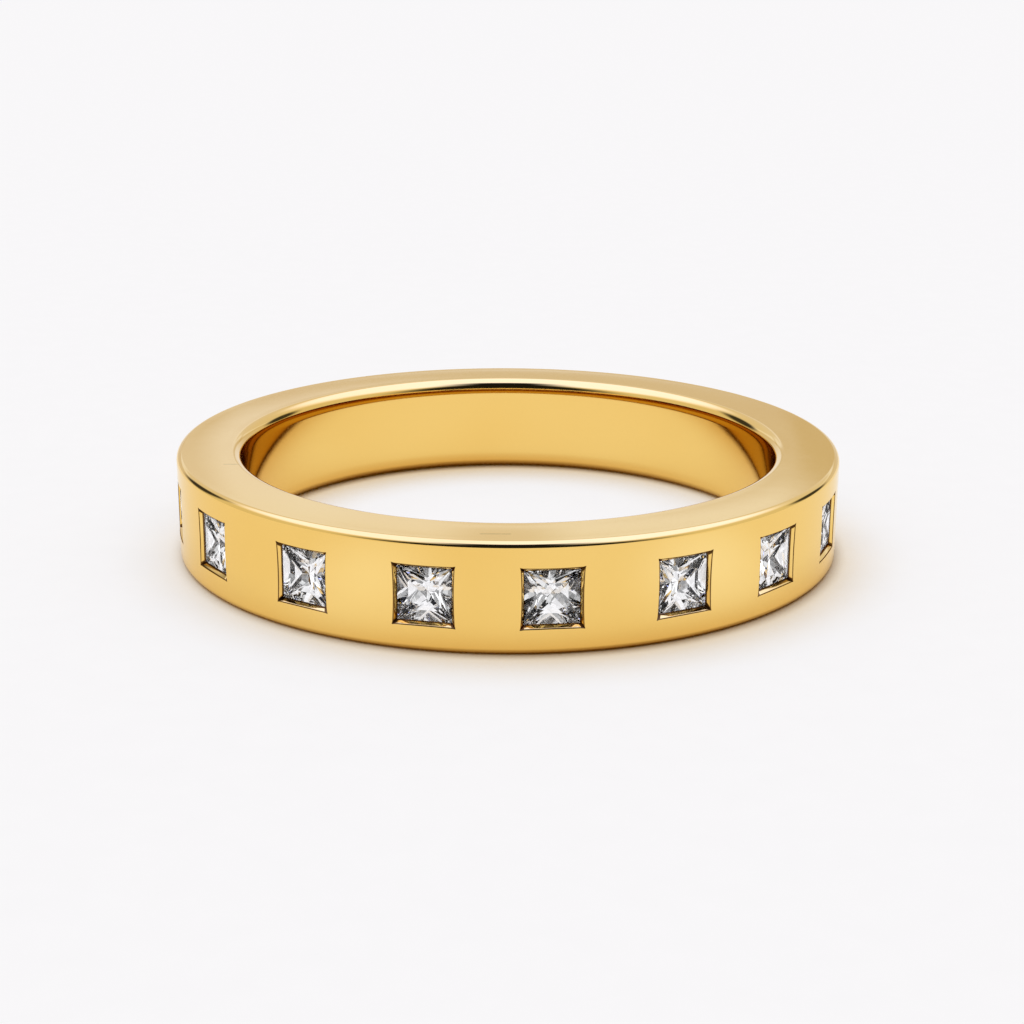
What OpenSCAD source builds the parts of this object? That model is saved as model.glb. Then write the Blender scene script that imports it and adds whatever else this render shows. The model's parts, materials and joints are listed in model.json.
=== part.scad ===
// A flat band ring that lies on its side, flush set with square princess-cut stones all round.
// Millimetres, +Z up along the bore, origin at the middle of the face that it rests on.

/* [Band] */
// Inside diameter of the ring
bore_d = 17.1; // [15:0.1:21]
// Thickness of the metal from the bore to the outer wall
wall = 2.1; // [1.95:0.05:2.6]
// Height of the band along the bore
band_w = 3.3; // [2.6:0.1:6]
// Radius of the two outer edges
outer_edge_r = 0.19; // [0.05:0.01:0.2]
// Radius of the two inner edges, where they turn into the flat faces
inner_edge_r = 0.34; // [0.2:0.02:0.5]
// Radius of the long curve that eases each inner edge into the bore for the finger
inner_ease_r = 2; // [0.8:0.1:2.4]

/* [Stones] */
// Side of a stone at its girdle
stone_w = 1.6; // [1.4:0.05:1.65]
// Side of the table, as a share of the stone's side
table_share = 0.55; // [0.5:0.01:0.65]
// Height of the crown, from girdle to table
crown_h = 0.135; // [0.12:0.005:0.16]
// Thickness of the girdle
girdle_h = 0.04; // [0.02:0.01:0.06]
// Number of stones round the back, evenly spaced
back_count = 9; // [6:1:9]

/* [Setting] */
// How far the top of the girdle lies below the outer wall
girdle_depth = 0.21; // [0.19:0.01:0.24]
// How far the metal lip reaches over the edge of the stone
lip_cover = 0.02; // [0.01:0.005:0.02]
// Width of the bevel round the stone at the corners
bevel_w = 0.13; // [0.08:0.01:0.14]
// How much narrower the bevel is at the middle of a side
bevel_bow = 0.04; // [0:0.01:0.05]
// How far the graver's notch runs past each corner of the bevel
notch_reach = 0.03; // [0.01:0.01:0.05]
// Clearance between a stone and its seat
seat_gap = 0.02; // [0.015:0.005:0.03]

/* [Hidden] */
$fn = 120;
bore_r = bore_d / 2;
outer_r = bore_r + wall;
// Angle that the ease of an inner edge turns through
ease_turn = 8;

// Angle of each front stone round the band from the front, in degrees, counted towards +X.
// They are spaced by eye, and the stones round the back share the rest of the circle.
front_angle = [-77.5, -56.2, -33.5, -12.7, 6.8, 28.2, 48.1, 68.5];
front_count = len(front_angle);
last_front = front_angle[front_count - 1];
stone_count = front_count + back_count;
back_pitch = (360 - last_front + front_angle[0]) / (back_count + 1);
function stone_angle(i) = i < front_count ? front_angle[i] : last_front + (i - front_count + 1) * back_pitch;

// Heights in a setting are counted outwards from the outer wall
girdle_top = -girdle_depth;
girdle_bottom = girdle_top - girdle_h;
lip_z = girdle_top + 2 * seat_gap;
stone_half = stone_w / 2;
table_half = stone_half * table_share;
lip_half = stone_half - lip_cover;
groove_half = stone_half + seat_gap;
pocket_floor_half = stone_half / 2;
notch_w = 0.07;

// Where each side of the crown breaks: share of the way out from table to girdle, share of the way up
crown_break = [0.61, 0.42];

// Pavilion facets under the middle of a side, from the girdle in:
// share of the half side where they begin, slope in degrees
PAV_START = 0;
PAV_SLOPE = 1;
pavilion = [
    [1, 50],
    [0.37, 46.5],
    [0.27, 37.5],
];
pavilion_rows = len(pavilion);
function pavilion_start(row) = row < pavilion_rows ? pavilion[row][PAV_START] * stone_half : 0;
function pavilion_drop(row) =
    row == 0 ? 0
    : pavilion_drop(row - 1)
        + (pavilion_start(row - 1) - pavilion_start(row)) * tan(pavilion[row - 1][PAV_SLOPE]);
culet_z = girdle_bottom - pavilion_drop(pavilion_rows);

function stone_name(i) = str("stone_", i < 9 ? "0" : "", i + 1);

// Puts its children on the outer wall at stone i: +Z points out of the band and +Y runs round it
module at_stone(i)
    rotate([0, 0, stone_angle(i) - 90])
        translate([outer_r, 0, band_w / 2])
            rotate([0, 90, 0])
                children();

// Point [x, y] turned by k quarter turns and lifted to z
function quarter_turned(x, y, k, z) = [
    x * cos(90 * k) - y * sin(90 * k),
    x * sin(90 * k) + y * cos(90 * k),
    z,
];

// Square outline at height z whose sides run from corner in to mid and whose corners are drawn out to tip
function outline(mid, corner, tip, z) = [
    for (
        k = [0:3],
        p = [
            [corner, notch_w - corner],
            [(3 * mid + corner) / 4, -corner / 2],
            [mid, 0],
            [(3 * mid + corner) / 4, corner / 2],
            [corner, corner - notch_w],
            [tip, tip],
        ]
    )
        quarter_turned(p[0], p[1], k, z)
];
function square_outline(half, z) = outline(half, half, half, z);

// Solid between outlines listed from the lowest up, all with the same number of points round the axis
module loft(outlines) {
    n = len(outlines[0]);
    top = (len(outlines) - 1) * n;
    floor_middle = top + n;
    top_middle = floor_middle + 1;
    points = concat(
        [for (o = outlines) each o],
        [[0, 0, outlines[0][0].z], [0, 0, outlines[len(outlines) - 1][0].z]]
    );
    walls = [
        for (base = [0:n:top - n], k = [0:n - 1])
            let (next = (k + 1) % n)
                each [
                    [base + k, base + n + k, base + next],
                    [base + next, base + n + k, base + n + next],
                ]
    ];
    ends = [
        for (k = [0:n - 1])
            let (next = (k + 1) % n)
                each [
                    [floor_middle, k, next],
                    [top_middle, top + next, top + k],
                ]
    ];
    polyhedron(points, concat(walls, ends));
}

// Cut for one stone: tapering pocket, groove for the girdle, lip over it and bevelled mouth,
// with the bevel carried on above the outer wall so that it cuts clear
module pocket() {
    clear = 0.1;
    grow = (clear - lip_z) / -lip_z;
    loft([
        square_outline(pocket_floor_half, culet_z - seat_gap),
        square_outline(groove_half, girdle_bottom - seat_gap),
        square_outline(groove_half, girdle_top + seat_gap),
        outline(lip_half, lip_half, lip_half + notch_reach / 2, lip_z),
        outline(
            lip_half + (bevel_w - bevel_bow) * grow,
            lip_half + bevel_w * grow,
            lip_half + notch_reach / 2 + (bevel_w + notch_reach / 2) * grow,
            clear
        ),
    ]);
}

// Cross-section of the band. Each inner edge is two arcs that meet in a smooth join: the edge itself
// turns down from the flat face, and the ease takes it on into the bore.
module band_profile() {
    inner_mid = bore_r + inner_ease_r * (1 - cos(ease_turn)) + inner_edge_r * cos(ease_turn);
    outer_mid = outer_r - outer_edge_r;
    ease_join = inner_edge_r * (1 - sin(ease_turn));
    ease_end = ease_join + inner_ease_r * sin(ease_turn);
    translate([inner_mid, 0])
        square([outer_mid - inner_mid, band_w]);
    translate([bore_r, ease_end])
        square([outer_mid - bore_r, band_w - 2 * ease_end]);
    translate([inner_mid, outer_edge_r])
        square([outer_r - inner_mid, band_w - 2 * outer_edge_r]);
    for (end = [0, 1])
        translate([0, end * band_w])
            mirror([0, end]) {
                translate([inner_mid, inner_edge_r]) circle(inner_edge_r);
                translate([outer_mid, outer_edge_r]) circle(outer_edge_r);
                intersection() {
                    translate([bore_r + inner_ease_r, ease_end]) circle(inner_ease_r);
                    translate([bore_r, ease_join])
                        square([inner_mid - bore_r, ease_end - ease_join]);
                }
            }
}

module band()
    color("goldenrod")
        difference() {
            rotate_extrude() band_profile();
            for (i = [0:stone_count - 1])
                at_stone(i) pocket();
        }

// One cut stone: square table, crown, thin girdle, and a pavilion whose facets meet in ribs at the corners
module stone(i) {
    break_x = table_half + (stone_half - table_half) * crown_break[0];
    break_z = girdle_top + crown_h * crown_break[1];
    // Rings of four points, one for each quarter turn. Corner k lies between sides k and k + 1.
    rings = concat(
        [
            [table_half, table_half, girdle_top + crown_h],
            [break_x, 0, break_z],
            [stone_half, stone_half, girdle_top],
            [stone_half, stone_half, girdle_bottom],
        ],
        [for (row = [0:pavilion_rows - 1]) [pavilion_start(row), 0, girdle_bottom - pavilion_drop(row)]]
    );
    table = 0;
    crown = 4;
    girdle_up = 8;
    girdle_down = 12;
    chevron = 16;
    culet = 4 * len(rings);
    points = concat(
        [for (r = rings, k = [0:3]) quarter_turned(r[0], r[1], k, r[2])],
        [[0, 0, culet_z]]
    );
    side_faces = [
        for (k = [0:3])
            let (j = (k + 3) % 4)
                each [
                    [table + j, table + k, crown + k],
                    [table + j, crown + k, girdle_up + j],
                    [table + k, girdle_up + k, crown + k],
                    [crown + k, girdle_up + k, girdle_up + j],
                    [girdle_up + j, girdle_up + k, chevron + k],
                    [girdle_up + j, chevron + k, girdle_down + j],
                    [girdle_up + k, girdle_down + k, chevron + k],
                ]
    ];
    chevron_faces = [
        for (row = [0:pavilion_rows - 1], k = [0:3])
            let (
                j = (k + 3) % 4,
                outer = chevron + 4 * row + k,
                inner = row < pavilion_rows - 1 ? outer + 4 : culet
            )
                each [
                    [outer, girdle_down + k, inner],
                    [outer, inner, girdle_down + j],
                ]
    ];
    color("white")
        at_stone(i)
            polyhedron(points, concat([[0, 3, 2, 1]], side_faces, chevron_faces));
}

band();
for (i = [0:stone_count - 1])
    stone(i);
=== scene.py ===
# Looks of a gold band ring flush set with square diamonds, lying on a pale floor under soft studio light.
# Metres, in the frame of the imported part: +Z up along the bore, -Y towards the camera.
import json
import math

import bpy
from mathutils import Matrix, Vector


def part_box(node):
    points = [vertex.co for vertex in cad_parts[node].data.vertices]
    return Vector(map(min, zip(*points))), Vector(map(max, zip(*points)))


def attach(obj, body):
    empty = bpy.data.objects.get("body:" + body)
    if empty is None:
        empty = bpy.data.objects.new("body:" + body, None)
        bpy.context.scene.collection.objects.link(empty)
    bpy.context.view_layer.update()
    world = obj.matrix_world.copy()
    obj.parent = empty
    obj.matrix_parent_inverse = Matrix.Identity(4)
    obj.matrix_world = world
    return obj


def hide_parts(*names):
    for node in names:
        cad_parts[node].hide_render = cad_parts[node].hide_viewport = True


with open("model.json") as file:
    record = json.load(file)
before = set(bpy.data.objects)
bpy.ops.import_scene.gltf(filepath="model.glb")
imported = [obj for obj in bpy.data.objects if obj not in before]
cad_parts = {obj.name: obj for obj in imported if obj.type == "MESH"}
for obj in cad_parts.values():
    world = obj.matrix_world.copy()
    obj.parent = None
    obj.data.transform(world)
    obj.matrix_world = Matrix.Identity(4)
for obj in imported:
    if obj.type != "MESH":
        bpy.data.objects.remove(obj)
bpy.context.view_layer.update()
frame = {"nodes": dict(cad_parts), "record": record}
MM = 0.001


# Sizes that come from the frame

def cad_points(node):
    return [v.co for v in frame["nodes"][node].data.vertices]


MOUNTS = {m["name"]: m for m in frame["record"]["mounts"]}
BORE_R = MOUNTS["finger_bore"]["dims"]["r_mm"] * MM
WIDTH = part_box("band")[1].z
OUTER_R = max(math.hypot(p.x, p.y) for p in cad_points("band"))
STONES = sorted(n for n in frame["nodes"] if n.startswith("stone_"))


def stone_angle(node):
    """Angle of a stone round the band from the front, in radians, counted towards +X."""
    middle = sum(cad_points(node), Vector()) / len(cad_points(node))
    return math.atan2(middle.x, -middle.y)


STONE_ANGLES = sorted(stone_angle(n) for n in STONES)
STONE_LOW, STONE_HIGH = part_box(STONES[0])
STONE_HALF = (STONE_HIGH.z - STONE_LOW.z) / 2

# Sizes of the setting, as in the part's source

OUTER_EDGE_R = 0.19 * MM
INNER_EDGE_R = 0.34 * MM
INNER_EASE_R = 2.0 * MM
INNER_EASE_TURN = 8
GIRDLE_DEPTH = 0.21 * MM
GIRDLE_H = 0.04 * MM
SEAT_GAP = 0.02 * MM
LIP_COVER = 0.02 * MM
BEVEL_W = 0.13 * MM
BEVEL_BOW = 0.04 * MM
NOTCH_REACH = 0.03 * MM
NOTCH_W = 0.07 * MM
CULET_R = min(math.hypot(p.x, p.y) for p in cad_points(STONES[0]))
POCKET_DEPTH = OUTER_R - CULET_R + SEAT_GAP
POCKET_FLOOR_SHARE = 0.5

# Sizes that only the fine mesh has

MOUTH_ROUND = 0.036 * MM
LIP_ROUND = 0.006 * MM
# Lean of the flat faces' polish at their edges, in degrees
PILLOW = 0.6
# Bends above this many degrees stay sharp
SHARP_BEND = 28
# Ends of arcs that are closer than this are one point
NEAR = 0.001 * MM
# Width of a column of the mesh between two settings
SPAN_STEP = 0.12 * MM
MIN_SPAN_STEPS = 2
# Steps over an edge of the band, over an ease and across a flat face
EDGE_STEPS = 8
EASE_STEPS = 4
FLAT_STEPS = 6
# Steps along a side of a setting, and how many of them at each end belong to the notch
SIDE_STEPS = 24
NOTCH_STEPS = 2
# Rings on the outer wall round a mouth, and how strongly they crowd towards it
WALL_RINGS = 6
RING_CROWDING = 1.5
# Steps over the round of a mouth and over that of a lip
ROUND_STEPS = 5
LIP_STEPS = 2
# Passes that bring a mouth's edge onto the outer wall
MOUTH_PASSES = 12
UP = Vector((0, 0, 1))


# Camera, at the photograph's viewing angle

CAMERA_DISTANCE = 63.79 * MM
CAMERA_ELEVATION = math.radians(16.564)
CAMERA_PITCH = math.radians(17.225)
CAMERA_YAW = math.radians(-0.129)
CAMERA_ROLL = math.radians(0.322)
CAMERA_LENS = 68.43
CAMERA_SENSOR = 36
CAMERA_NEAR = 0.002
CAMERA_FAR = 20


def make_camera():
    data = bpy.data.cameras.new("camera")
    data.sensor_width = CAMERA_SENSOR
    data.lens = CAMERA_LENS
    data.clip_start = CAMERA_NEAR
    data.clip_end = CAMERA_FAR
    camera = bpy.data.objects.new("camera", data)
    bpy.context.scene.collection.objects.link(camera)
    heading = Vector((-math.sin(CAMERA_YAW), math.cos(CAMERA_YAW), 0))
    side = Vector((math.cos(CAMERA_YAW), math.sin(CAMERA_YAW), 0))
    forward = heading * math.cos(CAMERA_PITCH) - UP * math.sin(CAMERA_PITCH)
    upward = heading * math.sin(CAMERA_PITCH) + UP * math.cos(CAMERA_PITCH)
    right = side * math.cos(CAMERA_ROLL) + upward * math.sin(CAMERA_ROLL)
    up = upward * math.cos(CAMERA_ROLL) - side * math.sin(CAMERA_ROLL)
    place = Matrix((right, up, -forward)).transposed().to_4x4()
    place.translation = Vector((
        0,
        -CAMERA_DISTANCE * math.cos(CAMERA_ELEVATION),
        WIDTH / 2 + CAMERA_DISTANCE * math.sin(CAMERA_ELEVATION),
    ))
    camera.matrix_world = place
    bpy.context.scene.camera = camera


# Shader helpers

WHITE = (1, 1, 1, 1)
# Sockets of a Mix node that mixes colours
MIX_FACTOR, MIX_A, MIX_B, MIX_RESULT = 0, 6, 7, 2
# Height of a bump map's full range
BUMP_DEPTH = 0.02 * MM


class Tree:
    """Adds nodes to a shader tree and links them."""

    def __init__(self, tree):
        self.tree = tree
        tree.nodes.clear()

    def add(self, kind, inputs=None, **settings):
        node = self.tree.nodes.new(kind)
        for name, value in settings.items():
            setattr(node, name, value)
        for name, value in (inputs or {}).items():
            if isinstance(value, bpy.types.NodeSocket):
                self.tree.links.new(value, node.inputs[name])
            else:
                node.inputs[name].default_value = value
        return node

    def math(self, operation, a, b=0.0):
        return self.add("ShaderNodeMath", {0: a, 1: b}, operation=operation).outputs[0]

    def multiply(self, a, b):
        """Product of two colours or vectors, channel by channel."""
        return self.add("ShaderNodeVectorMath", {0: a, 1: b}, operation="MULTIPLY").outputs[0]

    def between(self, value, low, high, to_low=0.0, to_high=1.0):
        """value taken from low..high to to_low..to_high, with soft ends."""
        node = self.add(
            "ShaderNodeMapRange",
            {"Value": value, "From Min": low, "From Max": high, "To Min": to_low, "To Max": to_high},
            interpolation_type="SMOOTHSTEP",
        )
        return node.outputs["Result"]

    def blend(self, a, b, factor):
        """The number a where factor is 0, b where it is 1."""
        return self.math(
            "ADD",
            self.math("MULTIPLY", a, self.math("SUBTRACT", 1.0, factor)),
            self.math("MULTIPLY", b, factor),
        )

    def mix_color(self, factor, a, b):
        """The colour a where factor is 0, b where it is 1."""
        node = self.add("ShaderNodeMix", data_type="RGBA")
        for index, value in ((MIX_FACTOR, factor), (MIX_A, a), (MIX_B, b)):
            socket = node.inputs[index]
            if isinstance(value, bpy.types.NodeSocket):
                self.tree.links.new(value, socket)
            else:
                socket.default_value = value
        return node.outputs[MIX_RESULT]

    def noise(self, vector, scale, detail, roughness=0.5):
        node = self.add(
            "ShaderNodeTexNoise",
            {"Vector": vector, "Scale": scale, "Detail": detail, "Roughness": roughness},
        )
        return node.outputs["Fac"]

    def bump(self, height, strength):
        inputs = {"Height": height, "Strength": strength, "Distance": BUMP_DEPTH}
        return self.add("ShaderNodeBump", inputs).outputs[0]


def new_tree(material):
    """The emptied shader tree of a material, and the place on the object that it is asked for."""
    material.use_nodes = True
    t = Tree(material.node_tree)
    return t, t.add("ShaderNodeTexCoord").outputs["Object"]


def finish_tree(t, shader):
    output = t.add("ShaderNodeOutputMaterial")
    t.tree.links.new(shader.outputs[0], output.inputs["Surface"])


# Studio

# It has a bright light overhead, dimmer sides, a backdrop between two dark openings, and a dark side
# where the camera stands. Places in it are degrees of height above the floor and of bearing from the
# back, counted towards +X. Spread is the bearing's size.
SOFTBOX = 1.4
SIDES = 0.78
# The overhead light as polished metal mirrors it, where bright highlights pale towards white
HIGHLIGHT = (0.9, 1.07, 2.4, 1)
BACKDROP_DIM = (0.65, 0.59, 0.50, 1)
BACKDROP_BRIGHT = (0.92, 0.92, 0.92, 1)
BACKDROP_MIRRORED = (0.92, 1.01, 1.42, 1)
# The paper that the camera sees beyond the floor's end
PAPER_SEEN = (0.939, 0.930, 0.939, 1)
# Ramps over height, bearing or spread: from and to, and the values there if not 0 and 1
OVERHEAD_HEIGHT = (25.0, 48.0)
BACKDROP_SPREAD = (60.0, 40.0)
BACKDROP_HEIGHT = (42.0, 30.0)
LOW_SPREAD = (0.0, 24.0, 0.9, 0.3)
RISE_START = (-6.0, 6.0, 12.9, 14.9)
RISE = (0.0, 2.6, 0.18, 0.95)
# Dimmer streaks up the backdrop: a column in the middle, and an outer one on either side
COLUMN_SPREAD = (2.6, 0.4)
COLUMN_HEIGHT = (16.5, 17.6)
OUTER_SPREAD_IN = (8.0, 10.0)
OUTER_SPREAD_OUT = (14.0, 11.0)
STREAK_DIM = 0.45
# Where the backdrop's lowest part ends, and where its middle part ends
LOW_END = (11.5, 13.0)
MIDDLE_END = (18.0, 20.0)
TOP_LIGHT = 0.5
# Dark openings beside the backdrop: bearing, height, half width, half height
OPENINGS = ((-50, 18, 12, 15), (57, 13, 12, 12))
OPENING_LIGHT = 0.05
# Where an opening's edge begins and where it is fully dark, in half sizes from its middle
OPENING_EDGE = (1.4, 0.6)
# The dark side where the camera stands
DARK = 0.012
DARK_FOOT = (0.0, 2.0)
DARK_TOP = (68.0, 58.0)
DARK_SPREAD = (44.0, 10.0)
# How much further out it reaches on the right, over the direction's x, and low down, over the height
DARK_LEAN_RIGHT = (-0.1, 0.1, 0.0, 4.0)
DARK_LEAN_LOW = (40.0, 15.0, 0.0, 20.0)
# The same dark side as the stones show it
DARK_IN_STONES = 0.3
# How much brighter the studio is as the stones show it
STONE_LIGHT = 1.2


def backdrop_light(t, height, bearing, spread):
    """How far the backdrop has turned from dim to bright, from 0 to 1."""
    # Low down it is brightest in the middle
    low = t.between(spread, *LOW_SPREAD)
    # Above that it brightens upwards, sooner on the left than on the right
    start = t.between(bearing, *RISE_START)
    rise = t.between(t.math("SUBTRACT", height, start), *RISE)
    column = t.math("MULTIPLY", t.between(spread, *COLUMN_SPREAD), t.between(height, *COLUMN_HEIGHT))
    outer = t.math("MULTIPLY", t.between(spread, *OUTER_SPREAD_IN), t.between(spread, *OUTER_SPREAD_OUT))
    dim = t.math("MULTIPLY", t.math("ADD", column, outer), STREAK_DIM)
    middle = t.math("MAXIMUM", t.math("SUBTRACT", rise, dim), 0.0)
    light = t.blend(low, middle, t.between(height, *LOW_END))
    return t.blend(light, TOP_LIGHT, t.between(height, *MIDDLE_END))


def darken_openings(t, level, height, bearing):
    """The light level with the dark openings beside the backdrop in it."""
    for opening_bearing, opening_height, half_width, half_height in OPENINGS:
        across = t.math("DIVIDE", t.math("SUBTRACT", bearing, opening_bearing), half_width)
        up = t.math("DIVIDE", t.math("SUBTRACT", height, opening_height), half_height)
        away = t.math("SQRT", t.math("ADD", t.math("POWER", across, 2.0), t.math("POWER", up, 2.0)))
        level = t.blend(level, OPENING_LIGHT, t.between(away, *OPENING_EDGE))
    return level


def dark_side(t, x, height, spread):
    """1 on the dark side where the camera stands, falling softly to 0 round it."""
    front = t.math("SUBTRACT", 180.0, spread)
    lean = t.math("ADD", t.between(x, *DARK_LEAN_RIGHT), t.between(height, *DARK_LEAN_LOW))
    tall = t.math("MULTIPLY", t.between(height, *DARK_FOOT), t.between(height, *DARK_TOP))
    return t.math("MULTIPLY", tall, t.between(t.math("SUBTRACT", front, lean), *DARK_SPREAD))


def make_world():
    world = bpy.data.worlds.new("studio")
    bpy.context.scene.world = world
    world.use_nodes = True
    t = Tree(world.node_tree)
    direction = t.add("ShaderNodeTexCoord").outputs["Generated"]
    x, y, z = t.add("ShaderNodeSeparateXYZ", {"Vector": direction}).outputs
    height = t.math("MULTIPLY", t.math("ARCSINE", z), 180 / math.pi)
    bearing = t.math("MULTIPLY", t.math("ARCTAN2", x, y), 180 / math.pi)
    spread = t.math("ABSOLUTE", bearing)
    path = t.add("ShaderNodeLightPath").outputs
    # 1 for what metal mirrors, 0 for what shows through a stone
    mirrored = t.math("SUBTRACT", path["Is Glossy Ray"], path["Is Transmission Ray"])
    mirrored = t.math("MAXIMUM", mirrored, 0.0)
    # Overhead light above the sides
    overhead = t.between(height, *OVERHEAD_HEIGHT)
    level = t.blend(SIDES, SOFTBOX, overhead)
    color = t.mix_color(t.math("MULTIPLY", mirrored, overhead), WHITE, HIGHLIGHT)
    # Backdrop
    backdrop = t.math("MULTIPLY", t.between(spread, *BACKDROP_SPREAD), t.between(height, *BACKDROP_HEIGHT))
    level = t.blend(level, 1.0, backdrop)
    bright = t.mix_color(mirrored, BACKDROP_BRIGHT, BACKDROP_MIRRORED)
    light = t.mix_color(backdrop_light(t, height, bearing, spread), BACKDROP_DIM, bright)
    color = t.mix_color(backdrop, color, light)
    level = darken_openings(t, level, height, bearing)
    # Dark side of the camera, and the studio as the stones show it
    dark = dark_side(t, x, height, spread)
    in_stones = t.math("MINIMUM", path["Transmission Depth"], 1.0)
    level = t.math("MULTIPLY", level, t.blend(1.0, STONE_LIGHT, in_stones))
    level = t.blend(level, t.blend(DARK, DARK_IN_STONES, in_stones), dark)
    # The camera itself sees plain paper where the floor ends
    seen = path["Is Camera Ray"]
    color = t.mix_color(seen, color, PAPER_SEEN)
    level = t.blend(level, 1.0, seen)
    background = t.add("ShaderNodeBackground", {"Color": color, "Strength": level})
    output = t.add("ShaderNodeOutputWorld")
    t.tree.links.new(background.outputs[0], output.inputs["Surface"])


# Floor

# From the middle of the floor to its corners, in metres
FLOOR_REACH = 6.0
# The paper's own colour and its glow, each between two near tones
PAPER = ((0.245, 0.242, 0.245, 1), (0.255, 0.252, 0.255, 1))
PAPER_GLOW = ((0.69, 0.682, 0.692, 1), (0.70, 0.692, 0.702, 1))
# Noises, here and below: cells per metre, detail and, if it isn't 0.5, roughness
PAPER_GRAIN = (900.0, 3.0)
PAPER_BUMP = 0.05
PAPER_ROUGHNESS = 0.6
# Reach of the shade that the ring casts on the floor round its foot, and its strength in each colour
SHADE_REACH = 2.6 * MM
SHADE = (0.42, 0.83, 1.42)
# The darker line where the ring meets the floor
CONTACT_REACH = 0.45 * MM
CONTACT = (1.1, 1.3, 1.6)
# The light that the ring hides comes from above, from behind and a little from the left
SHADE_FROM = (-0.2, 0.5, 0.85)
SHADE_SAMPLES = 5
# How fast the shade fades as the ring hides less of that light
SHADE_FADE = 2.0
# What is left of the floor's light each time after the first that gold mirrors it on
MIRRORED_AGAIN = (0.62, 0.52, 0.2)
# Pools of light on the floor as gold mirrors them: x, y, radius, and how much brighter they are
POOLS = ((-8.0 * MM, -14.0 * MM, 7.0 * MM), (11.5 * MM, -11.5 * MM, 7.0 * MM))
POOL_LIGHT = (1.12, 1.24, 1.65, 1)


def shade(t, toward_light, reach, strength):
    """Share of each colour that the ring leaves on the floor near its foot."""
    inputs = {"Distance": reach, "Normal": toward_light}
    open_sky = t.add("ShaderNodeAmbientOcclusion", inputs, samples=SHADE_SAMPLES).outputs["AO"]
    hidden = t.math("POWER", t.math("SUBTRACT", 1.0, open_sky), SHADE_FADE)
    return t.add("ShaderNodeCombineXYZ", {
        axis: t.math("MAXIMUM", t.math("SUBTRACT", 1.0, t.math("MULTIPLY", hidden, share)), 0.0)
        for axis, share in zip("XYZ", strength)
    }).outputs[0]


def pool(t, where, x, y, radius):
    """1 in the middle of a pool of light, falling softly to 0 at its radius."""
    away = t.add("ShaderNodeVectorMath", {0: where, 1: (x, y, 0)}, operation="DISTANCE").outputs["Value"]
    return t.between(away, radius, 0.0)


def mirrored_floor(t, where, color, glow):
    """The floor's colour and glow as gold mirrors them: pools of light, and less at each further bounce."""
    path = t.add("ShaderNodeLightPath").outputs
    # How often a ray that hasn't gone through a stone was mirrored, in all and after the first time
    by_gold = t.math("MULTIPLY", path["Glossy Depth"], t.math("LESS_THAN", path["Transmission Depth"], 0.5))
    again = t.math("MAXIMUM", t.math("SUBTRACT", by_gold, 1.0), 0.0)
    pools = 0.0
    for x, y, radius in POOLS:
        pools = t.math("MAXIMUM", pools, pool(t, where, x, y, radius))
    pools = t.math("MULTIPLY", pools, t.math("MINIMUM", by_gold, 1.0))
    glow = t.multiply(glow, t.mix_color(pools, WHITE, POOL_LIGHT))
    kept = t.add("ShaderNodeCombineXYZ", {
        axis: t.math("POWER", share, again) for axis, share in zip("XYZ", MIRRORED_AGAIN)
    }).outputs[0]
    return t.multiply(color, kept), t.multiply(glow, kept)


def floor_material():
    material = bpy.data.materials.new("floor_paper")
    t, where = new_tree(material)
    grain = t.noise(where, *PAPER_GRAIN)
    color = t.mix_color(grain, *PAPER)
    glow = t.mix_color(grain, *PAPER_GLOW)
    toward_light = t.add("ShaderNodeCombineXYZ", dict(zip("XYZ", Vector(SHADE_FROM).normalized()))).outputs[0]
    glow = t.multiply(glow, shade(t, toward_light, SHADE_REACH, SHADE))
    contact = shade(t, toward_light, CONTACT_REACH, CONTACT)
    glow = t.multiply(glow, contact)
    color = t.multiply(color, contact)
    color, glow = mirrored_floor(t, where, color, glow)
    shader = t.add(
        "ShaderNodeBsdfPrincipled",
        {
            "Base Color": color,
            "Roughness": PAPER_ROUGHNESS,
            "Specular IOR Level": 0.0,
            "Normal": t.bump(grain, PAPER_BUMP),
            "Emission Color": glow,
            "Emission Strength": 1.0,
        },
    )
    finish_tree(t, shader)
    return material


def make_floor():
    mesh = bpy.data.meshes.new("floor")
    # One triangle, because an inner edge near the ring would show as a line in the shade
    corners = [
        (FLOOR_REACH * math.sin(turn), FLOOR_REACH * math.cos(turn), 0)
        for turn in (0, -2 * math.pi / 3, 2 * math.pi / 3)
    ]
    mesh.from_pydata(corners, [], [(0, 1, 2)])
    mesh.materials.append(floor_material())
    floor = bpy.data.objects.new("floor", mesh)
    bpy.context.scene.collection.objects.link(floor)


# Metals

GOLD_TONES = ((0.91, 0.585, 0.155, 1), (0.93, 0.61, 0.17, 1))
GOLD_TINT = (1.0, 0.98, 0.88, 1)
GOLD_CLOUDS = (350.0, 3.0)
GOLD_GRAIN = (9000.0, 4.0, 0.7)
# Ramps over a noise, here and below: from and to, and the values there if not 0 and 1
GOLD_ROUGHNESS = (0.3, 0.8, 0.045, 0.09)
GOLD_BUMP = 0.15
# A paler tone painted over the gold as a soft sheen of reflected light, and how much of it shows at most
GOLD_SHEEN_TONE = (0.97, 0.69, 0.23, 1)
GOLD_SHEEN_SHARE = 0.35
GOLD_SHEEN_DRIFT = (140.0, 1.0)
GOLD_SHEEN_RAMP = (0.35, 0.65)
# Faint brown stains on the top face, from and to (x, y), their half width and that of their core
STAINS = (
    ((-8.79 * MM, -2.94 * MM), (-8.36 * MM, -2.95 * MM)),
    ((-0.73 * MM, -9.85 * MM), (0.05 * MM, -9.87 * MM)),
)
STAIN_WIDTH = 0.07 * MM
STAIN_CORE = 0.014 * MM
STAIN_COLOR = (0.45, 0.3, 0.05, 1)
STAIN_STRENGTH = (0.3, 0.6, 0.25, 0.5)
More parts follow.
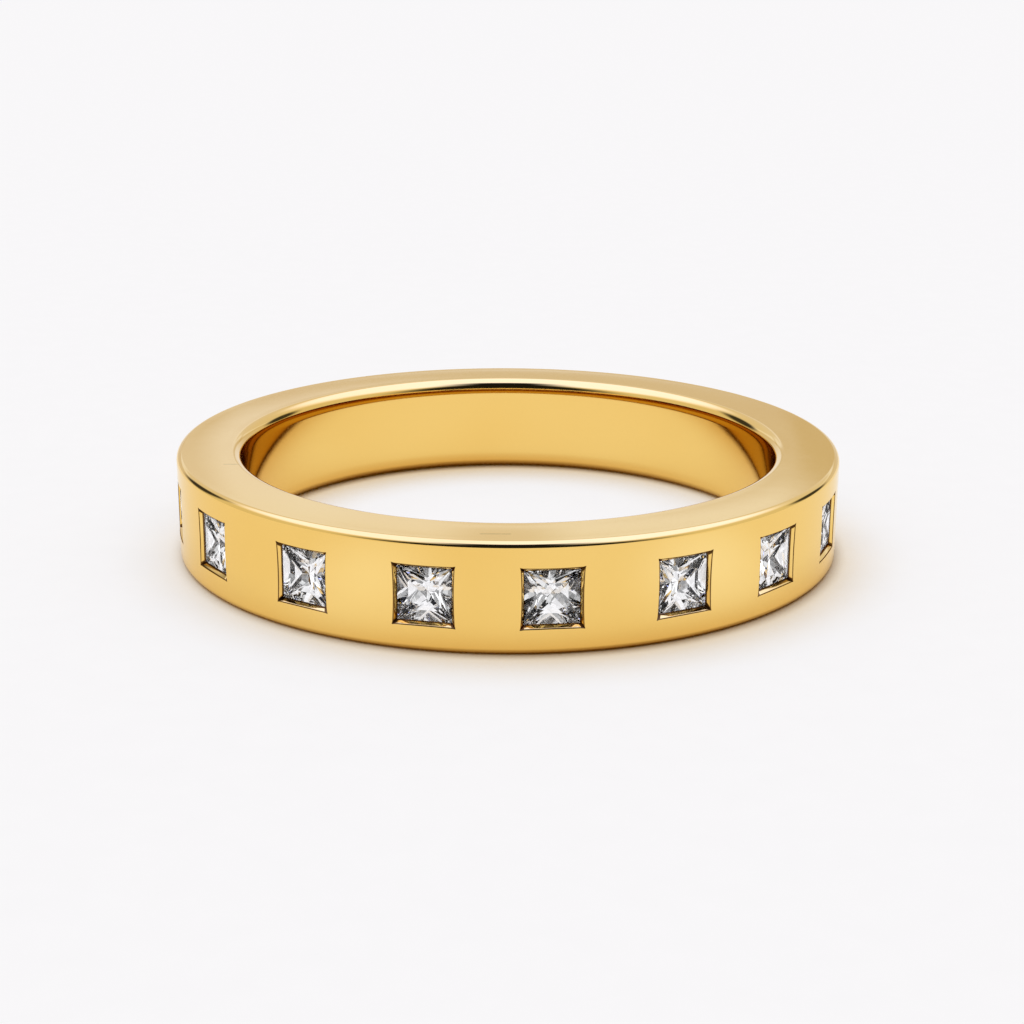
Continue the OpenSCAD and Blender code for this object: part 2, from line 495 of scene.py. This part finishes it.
# Gold painted dark as shade in the recesses, where the lip meets the stone and in the notches
RECESS_SHADE_TONES = ((0.10, 0.045, 0.012, 1), (0.24, 0.12, 0.03, 1))
RECESS_SHADE_TINT = (0.55, 0.35, 0.18, 1)
RECESS_GRAIN = (4000.0, 3.0)
RECESS_ROUGHNESS = (0.3, 0.7, 0.25, 0.4)
# Pale cut metal inside the seats
SEAT_TONES = ((0.78, 0.76, 0.74, 1), (0.90, 0.88, 0.86, 1))
SEAT_GRAIN = (5000.0, 3.0)
SEAT_ROUGHNESS = (0.3, 0.7, 0.3, 0.45)


def stain(t, where, start, end):
    """1 on the line from start to end on the top face, falling to 0 a little way off."""
    middle = ((start[0] + end[0]) / 2, (start[1] + end[1]) / 2, WIDTH)
    half = (abs(end[0] - start[0]) / 2, abs(end[1] - start[1]) / 2)
    x, y, z = t.add("ShaderNodeSeparateXYZ", {
        "Vector": t.add("ShaderNodeVectorMath", {0: where, 1: middle}, operation="SUBTRACT").outputs[0],
    }).outputs
    across = t.math("MAXIMUM", t.math("SUBTRACT", t.math("ABSOLUTE", x), half[0]), 0.0)
    along = t.math("MAXIMUM", t.math("SUBTRACT", t.math("ABSOLUTE", y), half[1]), 0.0)
    square = t.math("ADD", t.math("POWER", across, 2.0), t.math("POWER", along, 2.0))
    square = t.math("ADD", square, t.math("POWER", z, 2.0))
    return t.between(t.math("SQRT", square), STAIN_WIDTH, STAIN_CORE)


def gold_material():
    material = bpy.data.materials.new("polished_gold")
    t, where = new_tree(material)
    clouds = t.noise(where, *GOLD_CLOUDS)
    grain = t.noise(where, *GOLD_GRAIN)
    # Soft paler patches drifting over the gold: a painted sheen of reflected light
    painted_sheen = t.between(t.noise(where, *GOLD_SHEEN_DRIFT), *GOLD_SHEEN_RAMP)
    color = t.mix_color(clouds, *GOLD_TONES)
    color = t.mix_color(t.math("MULTIPLY", painted_sheen, GOLD_SHEEN_SHARE), color, GOLD_SHEEN_TONE)
    for start, end in STAINS:
        mark = t.math("MULTIPLY", stain(t, where, start, end), t.between(grain, *STAIN_STRENGTH))
        color = t.mix_color(mark, color, STAIN_COLOR)
    shader = t.add(
        "ShaderNodeBsdfPrincipled",
        {
            "Base Color": color,
            "Metallic": 1.0,
            "Roughness": t.between(grain, *GOLD_ROUGHNESS),
            "Specular Tint": GOLD_TINT,
            "Normal": t.bump(clouds, GOLD_BUMP),
        },
    )
    finish_tree(t, shader)
    return material


def rough_metal(name, noise, tones, roughness, tint):
    """Metal whose tone and roughness follow one fine noise."""
    material = bpy.data.materials.new(name)
    t, where = new_tree(material)
    grain = t.noise(where, *noise)
    shader = t.add(
        "ShaderNodeBsdfPrincipled",
        {
            "Base Color": t.mix_color(grain, *tones),
            "Metallic": 1.0,
            "Roughness": t.between(grain, *roughness),
            "Specular Tint": tint,
        },
    )
    finish_tree(t, shader)
    return material


# Metal painted dark as shade for the recesses
def shaded_recess_material():
    return rough_metal("recess_painted_shade", RECESS_GRAIN, RECESS_SHADE_TONES, RECESS_ROUGHNESS, RECESS_SHADE_TINT)


def seat_material():
    return rough_metal("seat_metal", SEAT_GRAIN, SEAT_TONES, SEAT_ROUGHNESS, WHITE)


# Fine mesh of the band

def arc_points(middle_r, middle_z, radius, start, end, steps):
    """Points (r, z, normal r, normal z) along an arc of the band's cross-section, angles in degrees."""
    points = []
    for i in range(steps + 1):
        a = math.radians(start + (end - start) * i / steps)
        c, s = math.cos(a), math.sin(a)
        points.append((middle_r + radius * c, middle_z + radius * s, c, s))
    return points


def line_points(a, b, steps):
    """Points inside the straight stretch from a to b. Across a flat face their normals lean outwards."""
    points = []
    for i in range(1, steps):
        s = i / steps
        lean = math.radians(PILLOW) * (1 - 2 * s) * abs(a[3])
        if a[0] < b[0]:
            lean = -lean
        points.append((a[0] + (b[0] - a[0]) * s, a[1] + (b[1] - a[1]) * s, a[2] + math.sin(lean), a[3]))
    return points


def band_profile():
    """The band's cross-section from the top of the outer wall over the bore to the foot of the outer wall."""
    turn = math.radians(INNER_EASE_TURN)
    outer = OUTER_R - OUTER_EDGE_R
    inner = BORE_R + INNER_EASE_R * (1 - math.cos(turn)) + INNER_EDGE_R * math.cos(turn)
    ease = BORE_R + INNER_EASE_R
    drop = (INNER_EASE_R - INNER_EDGE_R) * math.sin(turn)
    arcs = [
        arc_points(outer, WIDTH - OUTER_EDGE_R, OUTER_EDGE_R, 0, 90, EDGE_STEPS),
        arc_points(inner, WIDTH - INNER_EDGE_R, INNER_EDGE_R, 90, 180 - INNER_EASE_TURN, EDGE_STEPS),
        arc_points(ease, WIDTH - INNER_EDGE_R - drop, INNER_EASE_R, 180 - INNER_EASE_TURN, 180, EASE_STEPS),
        arc_points(ease, INNER_EDGE_R + drop, INNER_EASE_R, 180, 180 + INNER_EASE_TURN, EASE_STEPS),
        arc_points(inner, INNER_EDGE_R, INNER_EDGE_R, 180 + INNER_EASE_TURN, 270, EDGE_STEPS),
        arc_points(outer, OUTER_EDGE_R, OUTER_EDGE_R, 270, 360, EDGE_STEPS),
    ]
    points = list(arcs[0])
    for before, after in zip(arcs, arcs[1:]):
        gap = math.hypot(after[0][0] - before[-1][0], after[0][1] - before[-1][1])
        if gap < NEAR:
            points += after[1:]
        else:
            points += line_points(before[-1], after[0], FLAT_STEPS) + after
    return points


def outline(mid, corner, tip):
    """Points (round the band, up) of a square with sides bowed in to mid and corners drawn out to tip."""
    edge = corner - NOTCH_W
    bow_steps = SIDE_STEPS - 2 * NOTCH_STEPS
    side = []
    for i in range(SIDE_STEPS):
        if i < NOTCH_STEPS:
            s = i / NOTCH_STEPS
            side.append((tip + (corner - tip) * s, -tip + (tip - edge) * s))
        elif i <= NOTCH_STEPS + bow_steps:
            up = edge * (2 * (i - NOTCH_STEPS) / bow_steps - 1)
            side.append((mid + (corner - mid) * (up / edge) ** 2, up))
        else:
            s = (i - NOTCH_STEPS - bow_steps) / NOTCH_STEPS
            side.append((corner + (tip - corner) * s, edge + (tip - edge) * s))
    points = []
    for _ in range(4):
        points += side
        side = [(-up, across) for across, up in side]
    return points


# Material slots of the band
GOLD, SEAT, SHADED_RECESS = 0, 1, 2
# Share of the way down the bevel where the dark line of painted shade beside the stone starts
DARK_SHARE = 0.62


def ring_slot(i, k):
    """Material slot of face k of the strip that starts at ring i of a setting, counted from its border."""
    mouth = WALL_RINGS
    bevel = mouth + ROUND_STEPS
    dark_line = bevel + 1
    seat = dark_line + 1 + LIP_STEPS
    if i <= mouth:
        return GOLD
    if i >= seat:
        return SEAT
    # From the mouth's edge to the seat the metal is painted dark as shade, but outside the notches the bevel
    # is gold from the last step of the mouth's round to the painted dark line
    on_bevel = bevel - 1 <= i < dark_line
    in_notch = not NOTCH_STEPS <= k % SIDE_STEPS < SIDE_STEPS - NOTCH_STEPS
    return GOLD if on_bevel and not in_notch else SHADED_RECESS


def outward(angle):
    """Direction out of the band at an angle round it."""
    return Vector((math.sin(angle), -math.cos(angle), 0))


class BandMesh:
    """The fine band: a turned ring whose outer wall has a square cell for each stone."""

    def __init__(self):
        self.points, self.normals, self.faces, self.slots = [], [], [], []

    def point(self, place, normal=None):
        self.points.append(place)
        self.normals.append(normal)
        return len(self.points) - 1

    def on_wall(self, angle, z):
        out = outward(angle)
        return self.point(out * OUTER_R + Vector((0, 0, z)), out)

    def face(self, corners, slot=GOLD):
        self.faces.append(corners)
        self.slots.append(slot)

    def join_rows(self, rows, skip=()):
        """Faces between each row and the next, all the way round but for the columns to skip."""
        for row, following in zip(rows, rows[1:]):
            for c in range(len(row)):
                n = (c + 1) % len(row)
                if c not in skip:
                    self.face((row[c], row[n], following[n], following[c]))


def wall_columns():
    """Angles of all columns of the mesh, and the column where each stone's cell starts."""
    half_cell = (WIDTH / 2 - OUTER_EDGE_R) / OUTER_R
    columns, starts = [], []
    for i, middle in enumerate(STONE_ANGLES):
        starts.append(len(columns))
        columns += [middle - half_cell + 2 * half_cell * k / SIDE_STEPS for k in range(SIDE_STEPS)]
        following = STONE_ANGLES[(i + 1) % len(STONE_ANGLES)]
        span = (following - middle) % (2 * math.pi) - 2 * half_cell
        steps = max(MIN_SPAN_STEPS, round(span * OUTER_R / SPAN_STEP))
        columns += [middle + half_cell + span * k / steps for k in range(steps)]
    return columns, starts


def cell_columns(starts, first):
    """Columns of every stone's cell, from column first of the cell on."""
    return {start + k for start in starts for k in range(first, SIDE_STEPS)}


def part_way(a, b, s):
    """The point (angle, height) that lies the share s of the way from a to b."""
    return a[0] + (b[0] - a[0]) * s, a[1] + (b[1] - a[1]) * s


def bezier(a, b, c, s):
    """The point at s, from 0 to 1, on the curve from a to c that bends towards b."""
    return a * (1 - s) ** 2 + b * 2 * s * (1 - s) + c * s * s


def toward(a, b, distance):
    """The point at this distance from a on the way to b."""
    return a + (b - a).normalized() * distance


def mouth_point(low, high):
    """Where the bevel's line from low, at the lip, through high meets the outer wall."""
    s = 1.0
    for _ in range(MOUTH_PASSES):
        across = low.x + (high.x - low.x) * s
        wall = math.sqrt(OUTER_R ** 2 - across ** 2) - OUTER_R
        s = (wall - low.z) / (high.z - low.z)
    return low + (high - low) * s


def raised(points, z):
    """Flat points (x, y) brought to height z."""
    return [Vector((x, y, z)) for x, y in points]


def seat_outlines():
    """Outlines of a mouth, of its lip and of the pocket below, by points (round the band, up, out)."""
    lip = STONE_HALF - LIP_COVER
    bevel = lip + BEVEL_W
    groove = STONE_HALF + SEAT_GAP
    floor = STONE_HALF * POCKET_FLOOR_SHARE
    lips = raised(outline(lip, lip, lip + NOTCH_REACH / 2), 2 * SEAT_GAP - GIRDLE_DEPTH)
    highs = raised(outline(bevel - BEVEL_BOW, bevel, bevel + NOTCH_REACH), 0)
    mouths = [mouth_point(low, high) for low, high in zip(lips, highs)]
    square = outline(groove, groove, groove)
    groove_top = raised(square, SEAT_GAP - GIRDLE_DEPTH)
    groove_foot = raised(square, -GIRDLE_DEPTH - GIRDLE_H - SEAT_GAP)
    floors = raised([(p.x * floor / groove, p.y * floor / groove) for p in groove_top], -POCKET_DEPTH)
    return mouths, lips, [groove_top, groove_foot, floors]


def wall_rings(mesh, middle, border, mouths):
    """Rings on the outer wall from a cell's border to where the mouth's round starts, and that start."""
    # On the outer wall a place is an angle from the stone and a height from the middle
    outer = []
    for index in border:
        p = mesh.points[index]
        angle = math.atan2(p.x, -p.y) - middle
        outer.append(((angle + math.pi) % (2 * math.pi) - math.pi, p.z - WIDTH / 2))
    starts = []
    for a, b in zip([(math.asin(m.x / OUTER_R), m.y) for m in mouths], outer):
        length = math.hypot((b[0] - a[0]) * OUTER_R, b[1] - a[1])
        starts.append(part_way(a, b, MOUTH_ROUND / length))
    rings = [border]
    for r in range(WALL_RINGS - 1, -1, -1):
        share = (r / WALL_RINGS) ** RING_CROWDING
        places = [part_way(a, b, share) for a, b in zip(starts, outer)]
        rings.append([mesh.on_wall(middle + angle, WIDTH / 2 + height) for angle, height in places])
    return rings, starts


def recess_outlines(starts, mouths, lips, pocket):
    """Outlines of one setting inwards from where the mouth's round starts, down to the pocket's floor."""
    first = [Vector((math.sin(a) * OUTER_R, h, math.cos(a) * OUTER_R - OUTER_R)) for a, h in starts]
    bevel_top = [toward(mouth, lip, MOUTH_ROUND) for mouth, lip in zip(mouths, lips)]
    bevel_foot = [toward(lip, mouth, LIP_ROUND) for mouth, lip in zip(mouths, lips)]
    under = [toward(lip, below, LIP_ROUND) for lip, below in zip(lips, pocket[0])]
    mouth_round = [
        [bezier(a, mouth, b, r / ROUND_STEPS) for a, mouth, b in zip(first, mouths, bevel_top)]
        for r in range(1, ROUND_STEPS + 1)
    ]
    dark_line = [a.lerp(b, DARK_SHARE) for a, b in zip(bevel_top, bevel_foot)]
    lip_round = [
        [bezier(a, lip, b, r / LIP_STEPS) for a, lip, b in zip(bevel_foot, lips, under)]
        for r in range(LIP_STEPS + 1)
    ]
    return mouth_round + [dark_line] + lip_round + pocket


def beside_stone(middle, p):
    """Where a point (round the band, up, out), counted from the wall at the stone at angle middle, lies."""
    out = outward(middle)
    along = Vector((math.cos(middle), math.sin(middle), 0))
    return out * OUTER_R + UP * (WIDTH / 2) + along * p.x + UP * p.y + out * p.z


def cut_setting(mesh, middle, border):
    """Fills one stone's cell: the wall round the mouth, the mouth, the lip and the pocket."""
    mouths, lips, pocket = seat_outlines()
    rings, starts = wall_rings(mesh, middle, border, mouths)
    for points in recess_outlines(starts, mouths, lips, pocket):
        rings.append([mesh.point(beside_stone(middle, p)) for p in points])
    floor_middle = mesh.point(beside_stone(middle, Vector((0, 0, -POCKET_DEPTH))))
    size = len(border)
    for i, (outer, inner) in enumerate(zip(rings, rings[1:])):
        for k in range(size):
            n = (k + 1) % size
            mesh.face((outer[k], outer[n], inner[n], inner[k]), ring_slot(i, k))
    for k in range(size):
        mesh.face((rings[-1][k], rings[-1][(k + 1) % size], floor_middle), SEAT)


def turn_profile(mesh, columns):
    """Rows of points over the top face, the bore and the foot, one for each point of the cross-section."""
    rows = []
    for r, z, normal_r, normal_z in band_profile():
        row = []
        for angle in columns:
            out = outward(angle)
            row.append(mesh.point(out * r + UP * z, out * normal_r + UP * normal_z))
        rows.append(row)
    return rows


def wall_rows(mesh, columns, turned, inside):
    """Rows of points up the outer wall, from the last turned row to the first, with None inside the cells."""
    rows = [turned[-1]]
    for j in range(1, SIDE_STEPS):
        height = OUTER_EDGE_R + (WIDTH - 2 * OUTER_EDGE_R) * j / SIDE_STEPS
        rows.append([
            None if c in inside else mesh.on_wall(angle, height)
            for c, angle in enumerate(columns)
        ])
    rows.append(turned[0])
    return rows


def cell_border(wall, start):
    """Points round a stone's cell, in the order in which an outline runs."""
    count = len(wall[0])
    end = (start + SIDE_STEPS) % count
    border = [wall[j][end] for j in range(SIDE_STEPS)]
    border += [wall[SIDE_STEPS][(start + SIDE_STEPS - j) % count] for j in range(SIDE_STEPS)]
    border += [wall[SIDE_STEPS - j][start] for j in range(SIDE_STEPS)]
    border += [wall[0][start + j] for j in range(SIDE_STEPS)]
    return border


def band_object(mesh):
    """The object of a fine band, with its materials and the turned surfaces' own normals."""
    data = bpy.data.meshes.new("polished_band")
    data.from_pydata(mesh.points, [], mesh.faces)
    for material in (gold_material(), seat_material(), shaded_recess_material()):
        data.materials.append(material)
    data.polygons.foreach_set("material_index", mesh.slots)
    data.shade_smooth()
    data.set_sharp_from_angle(angle=math.radians(SHARP_BEND))
    data.normals_split_custom_set([
        mesh.normals[loop.vertex_index] or Vector((0, 0, 0)) for loop in data.loops
    ])
    band = bpy.data.objects.new("polished_band", data)
    bpy.context.scene.collection.objects.link(band)
    return band


def make_band():
    mesh = BandMesh()
    columns, starts = wall_columns()
    turned = turn_profile(mesh, columns)
    mesh.join_rows(turned)
    wall = wall_rows(mesh, columns, turned, cell_columns(starts, 1))
    mesh.join_rows(wall, cell_columns(starts, 0))
    for middle, start in zip(STONE_ANGLES, starts):
        cut_setting(mesh, middle, cell_border(wall, start))
    band = band_object(mesh)
    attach(band, "root")
    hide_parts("band")


# Diamonds

DIAMOND_IOR = 2.417
DIAMOND_TONES = ((0.985, 0.99, 1.0, 1), (1.0, 1.0, 1.0, 1))
DIAMOND_HAZE = (4000.0, 2.0)
# Share of the mirror image on the outside of the stones that is left out, for clear blacks
UNMIRRORED = 0.85


def diamond_material():
    material = bpy.data.materials.new("diamond")
    t, where = new_tree(material)
    haze = t.noise(where, *DIAMOND_HAZE)
    color = t.mix_color(haze, *DIAMOND_TONES)
    shader = t.add(
        "ShaderNodeBsdfPrincipled",
        {"Base Color": color, "Roughness": 0.0, "IOR": DIAMOND_IOR, "Transmission Weight": 1.0},
    )
    bend = t.add("ShaderNodeBsdfRefraction", {"Color": color, "Roughness": 0.0, "IOR": DIAMOND_IOR})
    outside = t.math("SUBTRACT", 1.0, t.add("ShaderNodeNewGeometry").outputs["Backfacing"])
    mix = t.add("ShaderNodeMixShader", {"Fac": t.math("MULTIPLY", outside, UNMIRRORED)})
    t.tree.links.new(shader.outputs[0], mix.inputs[1])
    t.tree.links.new(bend.outputs[0], mix.inputs[2])
    finish_tree(t, mix)
    return material


def dress_stones():
    material = diamond_material()
    for name in STONES:
        data = frame["nodes"][name].data
        data.materials.clear()
        data.materials.append(material)


def set_light_paths():
    scene = bpy.context.scene
    scene.view_settings.view_transform = "Standard"
    scene.cycles.max_bounces = 24
    scene.cycles.glossy_bounces = 12
    scene.cycles.transmission_bounces = 20
    scene.cycles.diffuse_bounces = 4
    scene.cycles.use_denoising = True
    scene.cycles.sample_clamp_indirect = 10


make_camera()
make_world()
make_floor()
make_band()
dress_stones()
set_light_paths()
